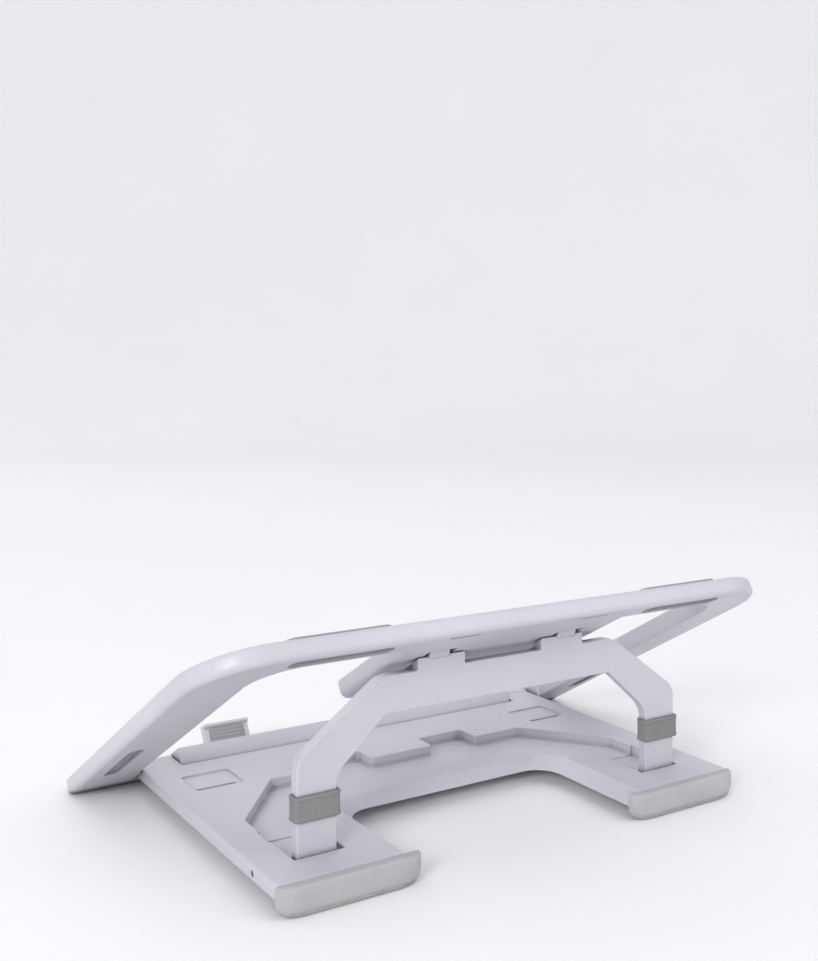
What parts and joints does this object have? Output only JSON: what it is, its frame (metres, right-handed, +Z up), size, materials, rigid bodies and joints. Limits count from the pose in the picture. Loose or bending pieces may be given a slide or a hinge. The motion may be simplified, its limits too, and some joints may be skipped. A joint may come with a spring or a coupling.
{
  "type": "laptop stand",
  "caption": "Folding laptop stand: a sloping open frame hinged to a flat base, propped by a folding strut with hooks, with rubber feet and flip-up stops.",
  "frame": {"origin": "middle of the overall box in X and Y, on the table", "axes": "+X across the stand to the user's right, +Y to the rear, +Z up"},
  "size_m": [0.289, 0.1807, 0.1013],
  "materials": {
    "white_plastic": "satin moulded plastic",
    "grey_rubber": "matte moulded rubber",
    "steel_pin": "ground pin"
  },
  "bodies": {
    "base": {"base_plate": "white_plastic", "rear_foot_left": "grey_rubber", "rear_foot_right": "grey_rubber", "front_pad_left": "grey_rubber", "front_pad_right": "grey_rubber", "strut_pin_left": "steel_pin", "strut_pin_right": "steel_pin"},
    "frame": {"top_frame": "white_plastic", "hinge_pin_left": "steel_pin", "hinge_pin_right": "steel_pin", "rear_grip_left": "grey_rubber", "rear_grip_right": "grey_rubber", "side_grip_left": "grey_rubber", "side_grip_right": "grey_rubber", "stop_pin_left": "steel_pin", "stop_pin_right": "steel_pin"},
    "strut": {"strut_frame": "white_plastic", "sleeve_left": "grey_rubber", "sleeve_right": "grey_rubber"},
    "right_stop": {"stop_right": "white_plastic", "stop_liner_right": "grey_rubber"},
    "left_stop": {"stop_left": "white_plastic", "stop_liner_left": "grey_rubber"}
  },
  "joints": [
    {"name": "frame_hinge", "type": "hinge", "parent": "base", "child": "frame", "pos_m": [0, -0.06808, 0.00925], "axis": [1, 0, 0], "range_deg": [0, 60]},
    {"name": "strut_pivot", "type": "hinge", "parent": "base", "child": "strut", "pos_m": [0, 0.06472, 0.0088], "axis": [1, 0, 0], "range_deg": [0, 90]},
    {"name": "right_stop_hinge", "type": "hinge", "parent": "frame", "child": "right_stop", "pos_m": [0.062, -0.08082, 0.00434], "axis": [1, 0, 0], "range_deg": [-90, 0]},
    {"name": "left_stop_hinge", "type": "hinge", "parent": "frame", "child": "left_stop", "pos_m": [-0.062, -0.08082, 0.00434], "axis": [1, 0, 0], "range_deg": [-90, 0]}
  ],
  "couplings": [
    {"joint": "strut_pivot", "follows": "frame_hinge", "ratio": 1.5}
  ]
}
